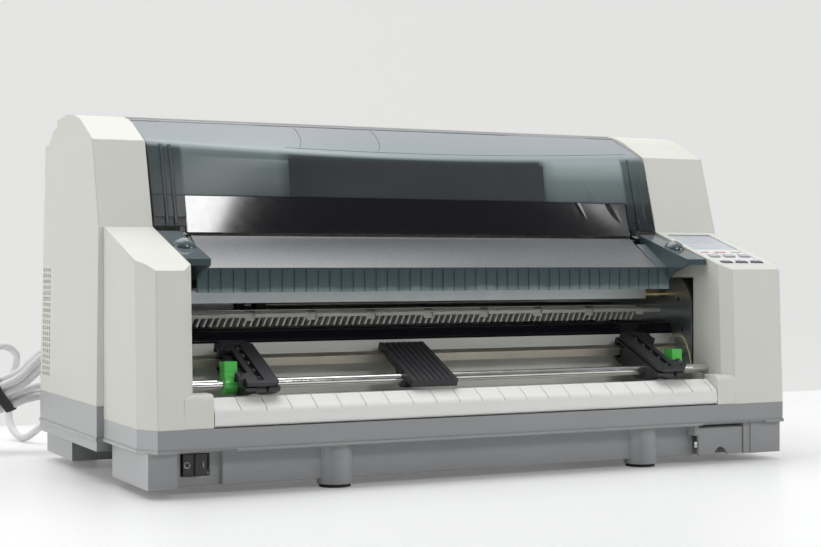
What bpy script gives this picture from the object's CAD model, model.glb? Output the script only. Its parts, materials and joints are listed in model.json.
import bpy, bmesh, json, math
from mathutils import Vector, Matrix


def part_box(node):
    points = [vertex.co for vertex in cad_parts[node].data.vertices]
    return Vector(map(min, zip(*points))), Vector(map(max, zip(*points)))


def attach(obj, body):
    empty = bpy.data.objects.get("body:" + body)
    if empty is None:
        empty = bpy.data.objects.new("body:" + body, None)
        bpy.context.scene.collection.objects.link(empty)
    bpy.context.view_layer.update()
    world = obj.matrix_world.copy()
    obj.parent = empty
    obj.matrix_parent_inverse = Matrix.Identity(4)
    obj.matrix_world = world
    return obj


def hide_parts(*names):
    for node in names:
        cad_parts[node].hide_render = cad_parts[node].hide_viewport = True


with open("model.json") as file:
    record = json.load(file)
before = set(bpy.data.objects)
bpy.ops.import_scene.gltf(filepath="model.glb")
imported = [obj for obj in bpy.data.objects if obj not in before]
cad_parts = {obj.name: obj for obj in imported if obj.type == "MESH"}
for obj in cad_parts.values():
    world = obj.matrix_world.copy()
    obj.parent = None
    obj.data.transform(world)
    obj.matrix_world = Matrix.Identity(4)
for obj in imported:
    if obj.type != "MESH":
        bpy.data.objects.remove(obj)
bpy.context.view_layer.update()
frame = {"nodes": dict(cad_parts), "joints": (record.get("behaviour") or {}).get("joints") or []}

scene = bpy.context.scene
MM = 0.001
DEPTH0 = -0.150          # front of the body; a depth of d mm lies at DEPTH0 + d * MM
SHARP = math.radians(38)  # edges over this angle stay sharp


def at(x, d, z):
    """A point from millimetres: x across, d behind the front of the body, z above the table."""
    return Vector((x * MM, DEPTH0 + d * MM, z * MM))


# ---------------------------------------------------------------- camera
cam_data = bpy.data.cameras.new("camera")
cam = bpy.data.objects.new("camera", cam_data)
scene.collection.objects.link(cam)
cam_data.sensor_width = 36
cam_data.lens = 70.8
cam_data.clip_start, cam_data.clip_end = 0.05, 30
cam.location = (-0.6275, -1.2668, 0.1705)
cam.rotation_euler = (math.radians(89.638), 0, math.radians(-26.25))
scene.camera = cam
scene.view_settings.view_transform = "Standard"


# ---------------------------------------------------------------- node helpers
class Tree:
    """A material's node tree with short calls."""

    def __init__(self, name):
        self.mat = bpy.data.materials.new(name)
        self.mat.use_nodes = True
        self.t = self.mat.node_tree
        self.bsdf = self.t.nodes["Principled BSDF"]

    def node(self, kind, **values):
        n = self.t.nodes.new("ShaderNode" + kind)
        for k, v in values.items():
            if hasattr(n, k) and k not in n.inputs:
                setattr(n, k, v)
            else:
                n.inputs[k].default_value = v
        return n

    def link(self, a, b):
        self.t.links.new(a, b)

    def coords(self):
        return self.node("TexCoord").outputs["Object"]

    def ramp(self, source, stops):
        r = self.node("ValToRGB")
        e = r.color_ramp.elements
        while len(e) > 1:
            e.remove(e[-1])
        e[0].position, e[0].color = stops[0][0], (*stops[0][1], 1)
        for p, c in stops[1:]:
            e.new(p).color = (*c, 1)
        self.link(source, r.inputs["Fac"])
        return r.outputs["Color"]

    def noise(self, scale, detail=2.0, rough=0.5, vector=None):
        n = self.node("TexNoise", Scale=scale, Detail=detail, Roughness=rough)
        self.link(vector or self.coords(), n.inputs["Vector"])
        return n.outputs["Fac"]

    def wave(self, scale, size):
        """Noise about 0 and size high, which makes the steps of a ramp uneven."""
        return self.math("MULTIPLY", self.math("SUBTRACT", self.noise(scale, 3), 0.5), size)

    def math(self, op, a, b=0.0):
        m = self.node("Math", operation=op)
        for i, v in enumerate((a, b)):
            if isinstance(v, (int, float)):
                m.inputs[i].default_value = v
            else:
                self.link(v, m.inputs[i])
        return m.outputs[0]

    def scaled(self, source, factor, offset):
        """source * factor + offset"""
        m = self.math("MULTIPLY_ADD", source, factor)
        m.node.inputs[2].default_value = offset
        return m

    def mix(self, fac, a, b):
        m = self.node("Mix", data_type="RGBA")
        for i, v in ((0, fac), (6, a), (7, b)):
            if isinstance(v, (int, float)):
                m.inputs[i].default_value = v
            elif isinstance(v, tuple):
                m.inputs[i].default_value = (*v, 1)
            else:
                self.link(v, m.inputs[i])
        return m.outputs[2]

    def span(self, source, lo, hi):
        """0 at lo, 1 at hi, of a coordinate in metres."""
        m = self.node("MapRange")
        self.link(source, m.inputs["Value"])
        m.inputs["From Min"].default_value, m.inputs["From Max"].default_value = lo, hi
        return m.outputs["Result"]

    def rays(self):
        """1 where the camera, or a mirror or clear piece in front of it, looks at the surface."""
        p = self.node("LightPath")
        m = self.math("MAXIMUM", p.outputs["Is Camera Ray"], p.outputs["Is Glossy Ray"])
        return self.math("MAXIMUM", m, p.outputs["Is Transmission Ray"])

    def part(self, vector, name):
        s = self.node("SeparateXYZ")
        self.link(vector, s.inputs[0])
        return s.outputs[name]

    def axis(self, name):
        """One coordinate of the point, in metres."""
        return self.part(self.coords(), name)

    def facing(self, name):
        """One component of the surface normal."""
        return self.part(self.node("NewGeometry").outputs["Normal"], name)

    def bump(self, height, strength, distance, soft=0.0):
        b = self.node("Bump", Strength=strength, Distance=distance)
        self.link(height, b.inputs["Height"])
        if soft:
            v = self.node("Bevel", samples=4, Radius=soft)
            self.link(v.outputs[0], b.inputs["Normal"])
        self.link(b.outputs[0], self.bsdf.inputs["Normal"])

    def colour(self, source):
        self.link(source, self.bsdf.inputs["Base Color"])

    def set(self, **values):
        for k, v in values.items():
            self.bsdf.inputs[k.replace("_", " ")].default_value = v


def plastic(name, colour, rough=0.45, grain=1400, depth=0.00006, soft=0.0008, shade=0.04, coat=0.0):
    """Moulded plastic: a fine spark texture, faint clouding and slightly worn gloss."""
    t = Tree(name)
    cloud = t.noise(9, 3)
    dark = tuple(c * (1 - shade) for c in colour)
    light = tuple(min(c * (1 + shade), 1) for c in colour)
    t.colour(t.ramp(cloud, [(0.35, dark), (0.65, light)]))
    fine = t.noise(grain, 1)
    t.link(t.scaled(fine, 0.12, rough - 0.06), t.bsdf.inputs["Roughness"])
    t.set(Specular_IOR_Level=0.45, Coat_Weight=coat)
    t.bump(fine, 0.35, depth, soft)
    return t


def metal(name, colour, rough=0.25, brush=(1, 1, 1), streak=0.08):
    """Metal with fine lines along one axis, or a ground skin."""
    t = Tree(name)
    m = t.node("Mapping")
    t.link(t.coords(), m.inputs["Vector"])
    m.inputs["Scale"].default_value = brush
    lines = t.noise(900, 3, 0.6, m.outputs[0])
    spots = t.noise(60, 4, 0.6)
    a = tuple(c * (1 - streak) for c in colour)
    b = tuple(min(c * (1 + streak), 1) for c in colour)
    both = t.math("ADD", t.math("MULTIPLY", lines, 0.6), t.math("MULTIPLY", spots, 0.4))
    t.colour(t.ramp(both, [(0.35, a), (0.65, b)]))
    t.link(t.scaled(spots, 0.22, rough - 0.08), t.bsdf.inputs["Roughness"])
    t.set(Metallic=1.0)
    t.bump(lines, 0.12, 0.00003, 0.0004)
    return t


# ---------------------------------------------------------------- mesh helpers
class Shape:
    """Points and faces gathered from several forms, then made into one object."""

    def __init__(self):
        self.v, self.f, self.m, self.s = [], [], [], []

    def add(self, verts, faces, move=None, mat=0, smooth=True):
        n = len(self.v)
        self.v += [tuple(move @ Vector(p)) if move else tuple(p) for p in verts]
        self.f += [tuple(n + i for i in f) for f in faces]
        self.m += [mat] * len(faces)
        self.s += [smooth] * len(faces)
        return self

    def make(self, name, mats, body, slot):
        mesh = bpy.data.meshes.new(name)
        mesh.from_pydata(self.v, [], self.f)
        obj = bpy.data.objects.new(name, mesh)
        scene.collection.objects.link(obj)
        for m in mats:
            mesh.materials.append(m.mat)
        for p, m, s in zip(mesh.polygons, self.m, self.s):
            p.material_index, p.use_smooth = m, s
        bm = bmesh.new()
        bm.from_mesh(mesh)
        bmesh.ops.recalc_face_normals(bm, faces=bm.faces)
        bm.to_mesh(mesh)
        bm.free()
        mesh.set_sharp_from_angle(angle=SHARP)
        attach(obj, body)
        return obj


def loft(rings, close=False):
    """Faces over rings of the same number of points, in a closed loop or capped at both ends."""
    n = len(rings[0])
    v = [p for r in rings for p in r]
    f = []
    for i in range(len(rings) - (0 if close else 1)):
        a, b = i * n, (i + 1) % len(rings) * n
        f += [(a + k, a + (k + 1) % n, b + (k + 1) % n, b + k) for k in range(n)]
    if not close:
        f += [tuple(range(n))[::-1], tuple((len(rings) - 1) * n + k for k in range(n))]
    return v, f


def tube(points, r, sides=10, close=False):
    """Round tube along points; r is a radius or one for each point."""
    n = len(points)
    rings, side = [], None
    for i, p in enumerate(points):
        a = points[(i - 1) % n] if close or i else p
        b = points[(i + 1) % n] if close or i < n - 1 else p
        t = (Vector(b) - Vector(a)).normalized()
        if side is None:
            side = t.cross(Vector((0, 0, 1)))
            if side.length < 0.05:
                side = t.cross(Vector((1, 0, 0)))
        side = (side - t * side.dot(t)).normalized()
        up = t.cross(side)
        q = r[i] if isinstance(r, (list, tuple)) else r
        rings.append([Vector(p) + q * (math.cos(u) * side + math.sin(u) * up)
                      for u in [2 * math.pi * k / sides for k in range(sides)]])
    return loft(rings, close)


def lathe(profile, steps):
    """Turned form about Z from (radius, height) pairs."""
    turn = [2 * math.pi * k / steps for k in range(steps)]
    return loft([[(r * math.cos(a), r * math.sin(a), z) for a in turn] for r, z in profile])


def rounded(w, h, r, n=5):
    """Corner points of a rounded rectangle in a plane."""
    out = []
    for cx, cy, a0 in ((w / 2 - r, h / 2 - r, 0), (r - w / 2, h / 2 - r, 90),
                       (r - w / 2, r - h / 2, 180), (w / 2 - r, r - h / 2, 270)):
        for k in range(n + 1):
            a = math.radians(a0 + 90 * k / n)
            out.append((cx + r * math.cos(a), cy + r * math.sin(a)))
    return out


def pad(w, h, r, t):
    """Thin slab with a rounded outline and softened upper edge, lying in XY from z = 0 up."""
    e = t * 0.4
    lo = rounded(w, h, r)
    hi = rounded(w - 2 * e, h - 2 * e, max(r - e, 1e-5))
    return loft([[(x, y, 0) for x, y in lo], [(x, y, t - e) for x, y in lo], [(x, y, t) for x, y in hi]])


def catmull(p, k):
    """Smooth route through points, with k steps a stretch."""
    p = [Vector(q) for q in p]
    q = [2 * p[0] - p[1]] + p + [2 * p[-1] - p[-2]]
    out = []
    for i in range(1, len(p)):
        for j in range(k):
            u = j / k
            out.append(0.5 * (2 * q[i] + u * (q[i + 1] - q[i - 1])
                              + u * u * (2 * q[i - 1] - 5 * q[i] + 4 * q[i + 1] - q[i + 2])
                              + u * u * u * (3 * q[i] - q[i - 1] - 3 * q[i + 1] + q[i + 2])))
    return out + [p[-1]]


# ---------------------------------------------------------------- materials
white = plastic("white_plastic", (0.76, 0.76, 0.70), 0.5, soft=0.0014, shade=0.012)
apron_mat = plastic("apron_plastic", (0.86, 0.86, 0.83), 0.5, soft=0.0007, shade=0.012)
black = plastic("black_plastic", (0.022, 0.022, 0.026), 0.38, grain=1100, soft=0.0005, shade=0.12)
glossy = plastic("black_gloss", (0.006, 0.006, 0.009), 0.14, grain=200, depth=0.00001, soft=0.0005,
                 shade=0.1, coat=0.3)
window_gloss = plastic("window_gloss", (0.004, 0.004, 0.006), 0.13, grain=200, depth=0.000004, soft=0.0,
                       shade=0.1, coat=1.0)
window_gloss.set(Coat_Roughness=0.1)
light_gray = plastic("light_gray_plastic", (0.60, 0.60, 0.57), 0.4, soft=0.0005)
rubber = plastic("rubber", (0.02, 0.02, 0.02), 0.7, grain=700, soft=0.0006, shade=0.15)
gear_mat = plastic("gear_plastic", (0.045, 0.045, 0.05), 0.4, soft=0.0002, shade=0.1)
belt_mat = plastic("pin_belt", (0.05, 0.05, 0.055), 0.5, soft=0.0003, shade=0.1)
green = plastic("green_plastic", (0.10, 0.62, 0.10), 0.3, soft=0.0006, shade=0.06, coat=0.3)
key_dark = plastic("key_dark", (0.10, 0.11, 0.14), 0.4, soft=0.0005)
key_light = plastic("key_light", (0.55, 0.56, 0.58), 0.4, soft=0.0005)
board = plastic("board_green", (0.01, 0.10, 0.04), 0.3, grain=300, soft=0.0)
lead_mat = plastic("lead_sheath", (0.60, 0.59, 0.58), 0.4, grain=500, soft=0.0, shade=0.05)
zinc = metal("zinc_steel", (0.56, 0.60, 0.60), 0.35, (1, 1, 40))
tray_paint = plastic("tray_paint", (0.64, 0.65, 0.61), 0.32, grain=600, soft=0.0004)
chrome = metal("chrome", (0.78, 0.76, 0.73), 0.12, (0.03, 1, 1))
dark_metal = metal("dark_metal", (0.20, 0.20, 0.20), 0.4, (0.05, 1, 1))
shaft_metal = metal("shaft_metal", (0.70, 0.66, 0.58), 0.38, (0.03, 1, 1))
brass = metal("brass", (0.72, 0.56, 0.30), 0.25, (0.05, 1, 1))
alu = metal("aluminium", (0.62, 0.62, 0.64), 0.35)


def smoke_material():
    """Smoke tinted clear plastic: clearer and greener at the ends of the face, dark behind the middle,
    pale where the top catches the light."""
    t = Tree("smoke_plastic")
    z, x = t.axis("Z"), t.axis("X")
    wave = t.wave(7, 0.16)
    # the face from the window up to the crease, and its paler right end
    h = t.math("ADD", t.span(z, 0.224, 0.270), wave)
    face = t.ramp(h, [(0.0, (0.095, 0.112, 0.122)), (0.3, (0.150, 0.180, 0.180)),
                      (0.65, (0.175, 0.220, 0.220)), (1.0, (0.25, 0.31, 0.31))])
    right = t.ramp(h, [(0.0, (0.13, 0.165, 0.17)), (0.4, (0.20, 0.255, 0.255)),
                       (0.7, (0.42, 0.50, 0.50)), (1.0, (0.46, 0.53, 0.54))])
    face = t.mix(t.span(x, 0.105, 0.125), face, right)
    # the side strips outside the window are darker
    side = t.math("MAXIMUM", t.span(x, -0.2195, -0.2225), t.span(x, 0.1965, 0.1995))
    face = t.mix(t.math("MULTIPLY", side, 0.72), face, (0.040, 0.052, 0.055))
    # the middle of the face is backed by the dark band
    middle = t.math("MULTIPLY", t.span(x, -0.142, -0.128), t.span(x, 0.114, 0.106))
    face = t.mix(t.math("MULTIPLY", middle, 0.8), face, (0.030, 0.036, 0.038))
    # beside and below the window it is darkest
    low = t.ramp(t.math("ADD", t.span(z, 0.190, 0.226), wave),
                 [(0.0, (0.012, 0.016, 0.018)), (1.0, (0.045, 0.055, 0.060))])
    face = t.mix(t.span(z, 0.2215, 0.2265), low, face)
    top = t.ramp(t.math("ADD", t.span(z, 0.262, 0.290), wave),
                 [(0.0, (0.35, 0.41, 0.42)), (0.5, (0.38, 0.415, 0.44)), (1.0, (0.41, 0.425, 0.455))])
    t.colour(t.mix(t.span(t.facing("Z"), 0.55, 0.80), face, top))
    t.link(t.ramp(h, [(0.0, (0.93,) * 3), (1.0, (0.90,) * 3)]), t.bsdf.inputs["Alpha"])
    t.set(Roughness=0.2, Specular_IOR_Level=0.14)
    t.bump(t.noise(500, 1), 0.1, 0.00002, 0.0008)
    return t


def teal_material():
    """Clear smoke plastic of the ribbed lip and the wings, lighter at thin edges."""
    t = Tree("teal_smoke")
    z = t.axis("Z")
    wave = t.wave(40, 0.35)
    lip = t.ramp(t.math("ADD", t.span(z, 0.146, 0.170), wave),
                 [(0.0, (0.30, 0.38, 0.38)), (0.16, (0.19, 0.26, 0.26)), (0.26, (0.095, 0.14, 0.145)),
                  (0.6, (0.070, 0.105, 0.115)), (1.0, (0.060, 0.095, 0.105))])
    wing = t.ramp(t.math("ADD", t.span(z, 0.170, 0.200), wave),
                  [(0.0, (0.13, 0.165, 0.18)), (1.0, (0.24, 0.27, 0.29))])
    t.colour(t.mix(t.span(t.facing("Z"), 0.25, 0.6), lip, wing))
    t.set(Roughness=0.14, Alpha=0.88, Specular_IOR_Level=0.5, Coat_Weight=0.3)
    t.bump(t.noise(300, 1), 0.1, 0.00002, 0.0006)
    return t


def base_material():
    """Gray moulded base, paler where its sides turn to the light of the room."""
    t = plastic("gray_plastic", (0.33, 0.335, 0.34), 0.42, soft=0.0010, shade=0.03)
    body = t.bsdf.inputs["Base Color"].links[0].from_socket
    t.colour(t.mix(t.span(t.facing("X"), -0.55, -0.95), body, (0.52, 0.525, 0.53)))
    return t


def speckle_material():
    """Gray flap with a fine leather-like grain and a satin face."""
    t = Tree("textured_gray")
    g = t.noise(520, 3, 0.65)
    t.colour(t.ramp(g, [(0.35, (0.100, 0.104, 0.108)), (0.65, (0.152, 0.158, 0.162))]))
    t.set(Roughness=0.34, Specular_IOR_Level=1.0, Coat_Weight=0.7, Coat_Roughness=0.32)
    t.bump(g, 0.5, 0.00010, 0.0006)
    return t


def panel_material():
    """White label sheet of the control panel, with a pale gray field over the keys."""
    t = Tree("panel_white")
    d = t.node("VectorMath", operation="DOT_PRODUCT")
    t.link(t.coords(), d.inputs[0])
    d.inputs[1].default_value = PANEL_UP
    v = t.math("SUBTRACT", d.outputs["Value"], PANEL_UP.dot(PANEL_AT))
    x = t.math("ABSOLUTE", t.math("SUBTRACT", t.axis("X"), PANEL_AT.x))
    field = t.math("MULTIPLY", t.span(v, 0.0438, 0.0442), t.span(v, 0.0890, 0.0884))
    field = t.math("MULTIPLY", field, t.span(x, 0.0243, 0.0238))
    t.colour(t.mix(field, t.ramp(t.noise(12, 2), [(0.3, (0.80, 0.80, 0.79)), (0.7, (0.83, 0.83, 0.82))]),
                   t.ramp(t.noise(25, 2), [(0.3, (0.54, 0.565, 0.59)), (0.7, (0.60, 0.62, 0.65))])))
    t.set(Roughness=0.32, Specular_IOR_Level=0.45)
    t.bump(t.noise(1200, 1), 0.2, 0.00003, 0.0005)
    return t


PANEL_TILT = math.atan2(199 - 169.6, 107 - 14)
PANEL_UP = Vector((0, math.cos(PANEL_TILT), math.sin(PANEL_TILT)))
PANEL_OUT = Vector((0, -math.sin(PANEL_TILT), math.cos(PANEL_TILT)))
PANEL_AT = at(255.45, 14, 169.6) + PANEL_UP * 0.8 * MM
gray = base_material()
smoke = smoke_material()
teal = teal_material()
speckle = speckle_material()
panel_white = panel_material()

band_mat = plastic("band_black", (0.022, 0.025, 0.027), 0.6, grain=900, depth=0.00005, soft=0.0, shade=0.25)
seam_mat = plastic("seam_dark", (0.055, 0.070, 0.075), 0.4, soft=0.0, shade=0.1)
mark_white = plastic("mark_white", (0.78, 0.78, 0.76), 0.4, soft=0.0, shade=0.02)
mark_cream = plastic("mark_cream", (0.62, 0.55, 0.30), 0.4, soft=0.0, shade=0.05)
mark_gray = plastic("mark_gray", (0.30, 0.31, 0.33), 0.4, soft=0.0, shade=0.05)
mark_red = plastic("mark_red", (0.38, 0.06, 0.08), 0.35, soft=0.0, shade=0.08)
mark_pink = plastic("mark_pink", (0.72, 0.40, 0.42), 0.4, soft=0.0, shade=0.05)
mark_teal = plastic("mark_teal", (0.46, 0.60, 0.58), 0.35, soft=0.0, shade=0.04)
mark_lilac = plastic("mark_lilac", (0.62, 0.58, 0.72), 0.35, soft=0.0, shade=0.04)
steel_screw = metal("screw_steel", (0.60, 0.58, 0.52), 0.25)

# ---------------------------------------------------------------- mains lead
LEAD_D = 6.8
LEAD_START = (-200, 166.05, 82)      # rear end of the gland
LEAD = [(-201, 188, 81), (-211, 208, 73), (-226, 222, 59), (-242, 233, 43), (-257, 245, 27),
        (-270, 260, 12), (-277, 278, 4), (-282, 297, 8), (-284, 312, 21), (-282, 317, 43), (-279, 311, 65),
        (-280, 296, 81), (-291, 275, 90), (-304, 256, 93), (-315, 236, 89), (-325, 219, 76),
        (-340, 212, 60), (-358, 210, 51)]
TAIL = [(-281, 185, 61), (-266, 173, 58), (-252, 164, 45), (-240, 158, 28), (-225, 157, 13),
        (-207, 162, 4), (-187, 170, 5), (-167, 177, 10)]
HANK_AT = Vector((-314, 196, 49.4))
HANK_HALF, HANK_FLAT, HANK_FOLD, HANK_WAIST, HANK_PITCH = 58, 16, 23, 6, LEAD_D + 1.56
HANK_END = 3 + 1.638 / 4             # turns until the lead leaves the hank
TURN, TILT = math.radians(32), math.radians(45)
HANK_U = Vector((math.cos(TURN), -math.sin(TURN) * math.cos(TILT), math.sin(TURN) * math.sin(TILT)))
HANK_V = Vector((-math.sin(TURN), -math.cos(TURN) * math.cos(TILT), math.cos(TURN) * math.sin(TILT)))
HANK_W = Vector((0, math.sin(TILT), math.cos(TILT)))


def hank_gap(s, waist, full):
    """Half the gap between the strands at s along the hank: waist in the middle, full at the folds."""
    u = min(max((abs(s) - HANK_FLAT) / (HANK_HALF - HANK_FLAT), 0), 1)
    return waist + (full - waist) * u * u * (3 - 2 * u)


def hank_point(t):
    """Point of the lead after t turns round the hank; each turn lies in its own place of a 2 by 2 bundle."""
    a = math.radians(90 * t - 135)
    out, up = 0.5 + 0.7071 * math.cos(a), 0.5 - 0.7071 * math.sin(a)
    r, w = HANK_FOLD + HANK_PITCH * out, HANK_WAIST + HANK_PITCH * out
    q = (t - math.floor(t)) * 4
    if q < 1:
        s, y = -HANK_HALF - r * math.sin(math.pi * q), r * math.cos(math.pi * q)
    elif q < 2:
        s = (2 * q - 3) * HANK_HALF
        y = -hank_gap(s, w, r)
    elif q < 3:
        s, y = HANK_HALF + r * math.sin(math.pi * (q - 2)), -r * math.cos(math.pi * (q - 2))
    else:
        s = (7 - 2 * q) * HANK_HALF
        y = hank_gap(s, w, r)
    return HANK_AT + s * HANK_U + y * HANK_V + up * HANK_PITCH * HANK_W


TIE_ACROSS, TIE_HIGH = 38.0, 17.6
# section of the strap: along the hank, and out from its middle line
TIE_SECTION = ((-4.6, 0), (-4.2, 0.5), (0, 0.75), (4.2, 0.5), (4.6, 0), (4.2, -0.45), (-4.2, -0.45))


def between(knots, parts):
    """Each stretch between two knots cut in its number of parts, without the last knot."""
    return [a + (b - a) * k / n for a, b, n in zip(knots, knots[1:], parts) for k in range(n)]


def mains_cord():
    # quarters of a turn: a fold in even steps, then a straight stretch with its bends at the waist
    steps = between((0, 1), (14,)) + between((1, 1.172, 1.362, 1.638, 1.828, 2), (2, 2, 3, 2, 2))
    turns = [(2 * i + q) / 4 for i in range(8) for q in steps]
    hank = [hank_point(t) for t in turns if t < HANK_END + 0.001]
    route = catmull([LEAD_START] + LEAD + [hank[0]], 4) + hank[1:] + catmull([hank[-1]] + TAIL, 4)[1:]
    route = [p * MM for p in route]
    curve = bpy.data.curves.new("mains_cord", "CURVE")
    curve.dimensions = "3D"
    curve.bevel_depth, curve.bevel_resolution, curve.use_fill_caps = LEAD_D / 2 * MM, 5, True
    line = curve.splines.new("POLY")
    line.points.add(len(route) - 1)
    for p, q in zip(line.points, route):
        p.co = (*q, 1)
    line.use_smooth = True
    cord = bpy.data.objects.new("mains_cord", curve)
    scene.collection.objects.link(cord)
    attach(cord, "body")
    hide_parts("mains_lead", "lead_hank")

    # strap round the eight strands at the waist of the hank
    ring = [(y, w + HANK_PITCH / 2) for y, w in rounded(TIE_ACROSS, TIE_HIGH, 6.5, 6)]
    rings = []
    for i, (y, w) in enumerate(ring):
        y0, w0 = ring[i - 1]
        y1, w1 = ring[(i + 1) % len(ring)]
        d = Vector((y1 - y0, w1 - w0)).normalized()
        n = Vector((d.y, -d.x))
        rings.append([(HANK_AT + u * HANK_U + (y + n.x * g) * HANK_V + (w + n.y * g) * HANK_W) * MM
                      for u, g in TIE_SECTION])
    tie = Shape().add(*loft(rings, close=True))
    # its free end, laid back on the upper side
    face = Matrix((HANK_U, HANK_V, HANK_W)).transposed().to_4x4()
    above = (HANK_PITCH + TIE_HIGH) / 2 + 0.6
    tie.add(*pad(0.0086, 0.017, 0.002, 0.0011),
            move=Matrix.Translation(HANK_AT * MM) @ face @ Matrix.Translation((0, -0.004, above * MM)))
    tie_obj = tie.make("lead_tie", [rubber], "body", "rubber")


mains_cord()

LOOK = {
    white: ["rear_casing", "left_pod", "right_pod"],
    apron_mat: ["apron"],
    gray: ["base_tray", "option_door"],
    black: ["centre_guide", "carriage", "ribbon_cartridge", "cord_gland", "port_block",
            "left_tractor_body", "left_tractor_lid", "right_tractor_body", "right_tractor_lid"],
    glossy: ["entry_guide", "power_rocker"],
    window_gloss: ["cover_insert"],
    light_gray: ["paper_guide"],
    rubber: ["rubber_feet", "feed_roller", "timing_belt"],
    gear_mat: ["shaft_gear", "roller_gear", "idler_gear", "left_tractor_sprocket", "right_tractor_sprocket"],
    belt_mat: ["left_tractor_belt", "right_tractor_belt"],
    green: ["left_tractor_lever", "right_tractor_lever"],
    panel_white: ["panel_bezel"],
    key_dark: ["key_1", "key_2", "key_3"],
    key_light: ["key_4", "key_5", "key_6"],
    board: ["main_board"],
    lead_mat: ["mains_lead", "lead_hank", "mains_plug"],
    zinc: ["left_side_frame", "right_side_frame", "cross_plate", "power_supply"],
    tray_paint: ["lower_tray"],
    chrome: ["tractor_rail", "carriage_rails"],
    dark_metal: ["platen_bar", "drive_motors"],
    shaft_metal: ["square_shaft"],
    brass: ["eject_shaft", "motor_pinion"],
    alu: ["print_head", "motor_pulley", "idler_pulley"],
    smoke: ["top_cover"],
    teal: ["flap_rim"],
    speckle: ["flap_panel"],
}
for look, names in LOOK.items():
    for name in names:
        mesh = frame["nodes"][name].data
        mesh.materials.clear()
        mesh.materials.append(look.mat)

# ---------------------------------------------------------------- cover
COVER_L, COVER_R, BULGE = -248, 225, 16
CREASE, FOOT, REAR = Vector((128, 267)), Vector((105.5, 193.5)), Vector((177, 287.4))


def cover_line(x, g, n=8):
    """Outer line of the cover at x, grown by g: rear edge, rounded crease, foot, as (depth, height)."""
    sag = 1 - ((2 * x - COVER_L - COVER_R) / (COVER_R - COVER_L)) ** 2
    c = CREASE - Vector((BULGE, BULGE / 2)) * sag
    top = Vector((c.y - REAR.y, REAR.x - c.x)).normalized()
    front = Vector((FOOT.y - c.y, c.x - FOOT.x)).normalized()
    corner = c + g * (top + front) / (1 + top.dot(front))
    rear, foot = REAR + Vector((0, g / top.y)), FOOT + g * front
    a, b = corner + 9 * (rear - corner).normalized(), corner + 9 * (foot - corner).normalized()
    bend = [a * (1 - t) ** 2 + corner * 2 * t * (1 - t) + b * t * t for t in [i / n for i in range(n + 1)]]
    return [rear] + bend + [foot]


def face_point(x, g, z):
    """Point of the straight part of the cover's face at height z."""
    p = cover_line(x, g)
    start, foot = p[-2], p[-1]
    return start + (foot - start) * (start.y - z) / (start.y - foot.y)


def columns(x0, x1, n):
    """Even places from x0 to x1."""
    return [x0 + (x1 - x0) * i / n for i in range(n + 1)]


def slab(xs, outer, inner):
    """Thin slab over the columns xs between two lines, each a function of x giving (depth, height) points."""
    return loft([[at(x, *p) for p in outer(x)] + [at(x, *p) for p in reversed(inner(x))] for x in xs])


def down_face(high, low, g, rows):
    """Points down the straight part of the face, as a function of x."""
    return lambda x: [face_point(x, g, high + (low - high) * i / rows) for i in range(rows + 1)]


WINDOW_L, WINDOW_R, WINDOW_TOP, WINDOW_LOW = -220.8, 197.3, 224.3, 195.2
STRIP_LOW = 207                         # the side strips end over the hinge ears of the flap
SKIN_IN, SKIN_OUT = 0.12, 0.42          # the smooth outer skin of the cover stands this far off the solid
BAND_L, BAND_R, BAND_LOW = -131.6, 110.4, 225.4


def cover_skin():
    """Smooth outer skin of the cover: rear edge, top, crease and the face round the window."""
    def over(g):
        return lambda x: cover_line(x, g)[:-1] + down_face(252, WINDOW_TOP + 0.5, g, 5)(x)[1:]

    s = Shape()
    s.add(*slab(columns(COVER_L + 0.3, COVER_R - 0.3, 56), over(SKIN_OUT), over(SKIN_IN)))
    for x0, x1 in ((COVER_L + 0.3, WINDOW_L), (WINDOW_R, COVER_R - 0.3)):
        s.add(*slab(columns(x0, x1, 5),
                    *(down_face(WINDOW_TOP + 0.4, STRIP_LOW, g, 4) for g in (SKIN_OUT, SKIN_IN))))
    s.make("cover_skin", [smoke], "cover", "smoke_glass")


def window_skin():
    """Glossy black window, a little behind the face."""
    s = Shape().add(*slab(columns(WINDOW_L + 0.3, WINDOW_R - 0.3, 56),
                          *(down_face(WINDOW_TOP, WINDOW_LOW, g, 6) for g in (-0.35, -0.62))))
    s.make("cover_window", [window_gloss], "cover", "black_gloss")


def cover_band():
    """Matt black band on the smoke face, from the crease down."""
    def line(g):
        return lambda x: cover_line(x, g)[7:-1] + down_face(250, BAND_LOW, g, 6)(x)
    s = Shape().add(*slab(columns(BAND_L, BAND_R, 32), line(SKIN_OUT + 0.25), line(SKIN_OUT - 0.1)))
    s.make("cover_band", [band_mat], "cover", "black_gloss")


def cover_lines():
    """Ribs seen through the side strips, seams of the top and the line along the crease."""
    s = Shape()
    for x in (-235.5, -228.5, 209, 216):
        s.add(*slab(columns(x - 0.55, x + 0.55, 1),
                    *(down_face(STRIP_LOW, STRIP_LOW + 45, SKIN_OUT + g, 6) for g in (0.14, -0.05))))
    for rear, front in ((-103, -118), (-30, -47)):
        points = []
        for u in columns(0, 1, 8):
            x = rear + (front - rear) * u * u
            a, b = cover_line(x, SKIN_OUT)[:2]
            points.append(at(x, *(a + (b - a) * (0.04 + 0.92 * u))))
        s.add(*tube(points, 0.26 * MM, 6))
    along = []
    for x in columns(-130, COVER_R - 12, 40):
        a, b = cover_line(x, SKIN_OUT)[:2]
        along.append(at(x, *(b + (a - b).normalized() * 3.5)))
    s.add(*tube(along, 0.22 * MM, 6))
    s.make("cover_lines", [seam_mat], "cover", "smoke_glass")


cover_skin()
window_skin()
cover_band()
cover_lines()

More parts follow.
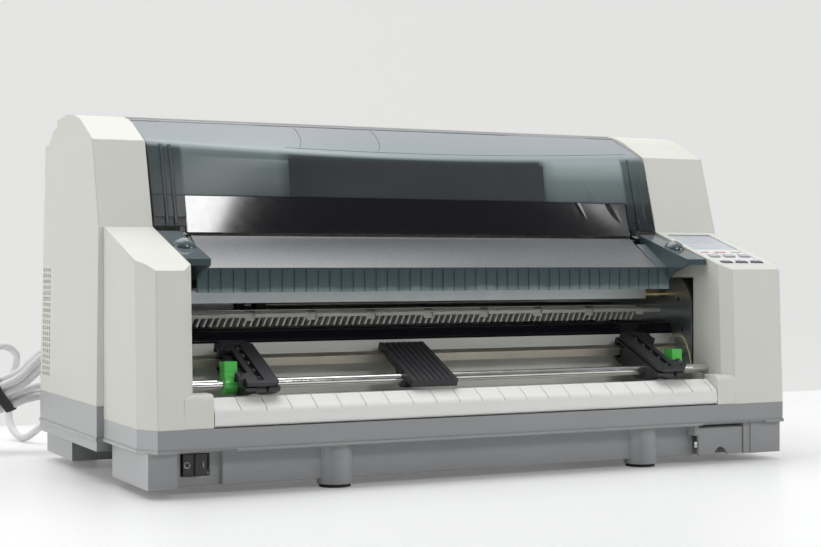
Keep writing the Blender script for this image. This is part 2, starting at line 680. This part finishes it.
# ---------------------------------------------------------------- control panel print
KEY_PITCH = 52 * 0.315               # the keys stand 0.315 of the panel's width apart
PRINT_SINK, PRINT_THICK = 0.62, 0.14  # how deep the foot of the marks lies under the panel's frame
WHITE_INK, GRAY_INK, RED_INK, PINK_INK, TEAL_INK, LILAC_INK = range(6)


def on_panel(u, v, w):
    """Place at u across, v up and w out from the low middle of the panel, in mm."""
    m = Matrix(((1, 0, 0), (0, PANEL_UP.y, PANEL_OUT.y), (0, PANEL_UP.z, PANEL_OUT.z))).to_4x4()
    return Matrix.Translation(PANEL_AT + Vector((u, 0, 0)) * MM + PANEL_UP * v * MM + PANEL_OUT * w * MM) @ m


def panel_print():
    s = Shape()

    def mark(u, v, w, h, ink):
        s.add(*pad(w * MM, h * MM, min(w, h) * 0.3 * MM, PRINT_THICK * MM),
              move=on_panel(u, v, -PRINT_SINK), mat=ink, smooth=False)

    for i in (-1, 0, 1):
        mark(i * KEY_PITCH, 11.6, 7.5, 1.3, GRAY_INK)
        mark(i * KEY_PITCH, 30.6, 8.5, 1.2, GRAY_INK)
        mark(i * KEY_PITCH + 3.6, 14.2, 2.0, 1.0, PINK_INK if i < 1 else GRAY_INK)
    # lamps, with a pale bar over each
    mark(-KEY_PITCH - 1, 36.2, 9, 2.2, RED_INK)
    mark(-1, 36.2, 12, 2.2, RED_INK)
    mark(KEY_PITCH, 36.2, 10.5, 2.0, GRAY_INK)
    mark(-KEY_PITCH + 8, 33.0, 8, 1.2, PINK_INK)
    for i, h in ((-1, 1.6), (0, 1.6), (1, 3.0)):
        mark(i * KEY_PITCH, 39.8, 11, h, WHITE_INK)
    # coloured rules on the gray field
    for v, h, ink, left, right in ((49.0, 1.6, TEAL_INK, -22, 9), (57.5, 3.2, LILAC_INK, -22, 9),
                                   (66.5, 1.6, TEAL_INK, -22, 12), (76.0, 2.6, LILAC_INK, -22, 16),
                                   (87.0, 1.0, GRAY_INK, -23, 23)):
        mark((left + right) / 2, v, right - left, h, ink)
    inks = [mark_white, mark_gray, mark_red, mark_pink, mark_teal, mark_lilac]
    s.make("panel_print", inks, "body", "panel_white")


panel_print()

# ---------------------------------------------------------------- paper path
def paper_path():
    """Bright nose edge of the guide, the wire under it, and the sensor leads at the right."""
    def ends(left, right):
        """A millimetre inside the outer sides of two nodes."""
        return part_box(left)[0].x / MM + 1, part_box(right)[1].x / MM - 1

    nose = Shape()
    for d, z, r in ((96.3, 130.0, 0.45), (97.3, 133.0, 0.3)):
        nose.add(*tube([at(x, d, z) for x in ends("paper_guide", "paper_guide")], r * MM, 8))
    nose.make("guide_nose", [chrome], "body", "chrome")
    across = [at(x, 93, 113.2) for x in ends("left_side_frame", "right_side_frame")]
    wire = Shape().add(*tube(across, 0.8 * MM, 10))
    wire.make("guide_wire", [chrome], "body", "chrome")
    leads = Shape()
    paths = (((81, 104.5), (73, 105.5), (63, 104), (56, 95), (51.5, 84), (48.5, 75), (47, 67)),
             ((80, 102.5), (72.5, 107), (61, 105.5), (54, 96), (49.8, 85), (47, 76), (45, 67)))
    for i, path in enumerate(paths):
        leads.add(*tube(catmull([at(224.3 - 1.4 * i, d, z) for d, z in path], 5), 0.65 * MM, 8), mat=i)
    leads.make("sensor_leads", [mark_white, mark_cream], "body", "white_plastic")


paper_path()

# ---------------------------------------------------------------- screws
def screw(s, place):
    """Pan head with a cross recess, its foot in the XY plane of place."""
    head = [(0.0001, 0), (0.0036, 0), (0.0036, 0.0006), (0.0029, 0.0016), (0.0001, 0.0019)]
    s.add(*lathe(head, 24), move=place)
    for turn in (0, 90):
        bar = place @ Matrix.Rotation(math.radians(turn), 4, "Z") @ Matrix.Translation((0, 0, 0.0017))
        s.add(*pad(0.0038, 0.0007, 0.0002, 0.00028), move=bar, mat=1, smooth=False)


def rear_screws():
    """Four along the foot of the rear wall, 4 mm in front of the outer face of the port block."""
    wall_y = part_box("port_block")[1].y - 4 * MM
    backwards = Matrix.Rotation(math.radians(-90), 4, "X")
    s = Shape()
    for x in (-262, -120, 170, 262):
        screw(s, Matrix.Translation((x * MM, wall_y - 0.0001, 66 * MM)) @ backwards)
    s.make("rear_screws", [steel_screw, seam_mat], "body", "zinc_steel")


rear_screws()

# ---------------------------------------------------------------- power rocker marks
def rocker_marks():
    """Ring on the left half and stroke on the right half, each on its own slope."""
    pivot = Vector(next(j for j in frame["joints"] if j["name"] == "power_rock")["pos_m"])
    aside, out, thick = 0.0055, -0.00708, 0.00034
    ring = [(-aside + 0.0021 * math.cos(a), out, 0.0021 * math.sin(a))
            for a in [2 * math.pi * k / 28 for k in range(28)]]
    stroke = [(aside, out, z) for z in (-0.0023, -0.001, 0.001, 0.0023)]
    s = Shape()
    for slope, line, close in ((-7, ring, True), (7, stroke, False)):
        m = Matrix.Translation(pivot) @ Matrix.Rotation(math.radians(slope), 4, "Z")
        s.add(*tube([m @ Vector(p) for p in line], thick, 8, close=close))
    s.make("rocker_marks", [mark_white], "rocker", "key_light")


rocker_marks()

# ---------------------------------------------------------------- room and light
TABLE_END = (0.34, 0.44)             # over this stretch of Y the white table gives way to pale gray
TABLE_SHINE = 0.4


def room():
    floor = bpy.data.meshes.new("floor")
    bm = bmesh.new()
    # floor that rises into a wall in one sweep
    wide, back, high, r, steps = 6, 2.2, 5, 0.5, 12
    sweep = [math.pi / 2 * i / steps for i in range(1, steps + 1)]
    line = [(-wide, 0), (back, 0)]
    line += [(back + r * math.sin(a), r - r * math.cos(a)) for a in sweep] + [(back + r, high)]
    rows = [[bm.verts.new((x, y, z)) for y, z in line] for x in (-wide, wide)]
    for i in range(len(line) - 1):
        bm.faces.new((rows[0][i], rows[1][i], rows[1][i + 1], rows[0][i + 1]))
    bm.to_mesh(floor)
    bm.free()
    obj = bpy.data.objects.new("floor", floor)
    scene.collection.objects.link(obj)
    t = Tree("floor_white")
    t.set(Roughness=0.35, Emission_Color=(1, 1, 0.99, 1))
    # the table ends behind the object; what lies beyond is an even pale gray where it is seen
    seen = t.rays()
    beyond = t.span(t.axis("Y"), *TABLE_END)
    base = t.ramp(t.noise(2, 2), [(0.3, (0.80, 0.80, 0.80)), (0.7, (0.83, 0.83, 0.83))])
    t.colour(t.mix(t.math("MULTIPLY", seen, beyond), base, (0.04, 0.04, 0.04)))
    t.link(t.math("SUBTRACT", TABLE_SHINE, t.math("MULTIPLY", beyond, TABLE_SHINE)),
           t.bsdf.inputs["Specular IOR Level"])
    glow = t.math("ADD", t.math("MULTIPLY", beyond, 0.62), 0.13)
    t.link(t.math("MULTIPLY", seen, glow), t.bsdf.inputs["Emission Strength"])
    floor.materials.append(t.mat)
    world = bpy.data.worlds.new("world")
    scene.world = world
    world.use_nodes = True
    bg = world.node_tree.nodes["Background"]
    bg.inputs["Color"].default_value = (0.95, 0.97, 1.0, 1)
    # the room in front of the object is dim, so that glossy faces stay dark
    nodes, links = world.node_tree.nodes, world.node_tree.links
    where, split, dim = (nodes.new("ShaderNode" + k) for k in ("TexCoord", "SeparateXYZ", "MapRange"))
    links.new(where.outputs["Generated"], split.inputs[0])
    links.new(split.outputs["Y"], dim.inputs["Value"])
    for name, value in (("From Min", -0.8), ("From Max", 0.1), ("To Min", 0.12), ("To Max", 0.44)):
        dim.inputs[name].default_value = value
    links.new(dim.outputs["Result"], bg.inputs["Strength"])


def lamp(name, place, target, size, power):
    data = bpy.data.lights.new(name, "AREA")
    data.shape, data.size, data.size_y, data.energy = "RECTANGLE", size[0], size[1], power
    obj = bpy.data.objects.new(name, data)
    scene.collection.objects.link(obj)
    obj.location = place
    obj.rotation_euler = (Vector(target) - Vector(place)).to_track_quat("-Z", "Y").to_euler()


room()
lamp("ceiling", (-0.28, 0.55, 2.4), (-0.2, 0.1, 0.1), (2.85, 2.2), 54)
lamp("front_left", (-0.45, -2.3, 1.75), (0, 0, 0.15), (1.4, 0.8), 3)
lamp("front_right", (2.3, -1.7, 0.9), (0, 0, 0.15), (1.2, 1.0), 13)
lamp("left", (-2.6, 0.35, 1.1), (0, 0, 0.15), (1.4, 1.2), 12)
lamp("glare", (0.52, -2.3, 1.56), (-0.2, -0.04, 0.21), (0.56, 0.42), 10)
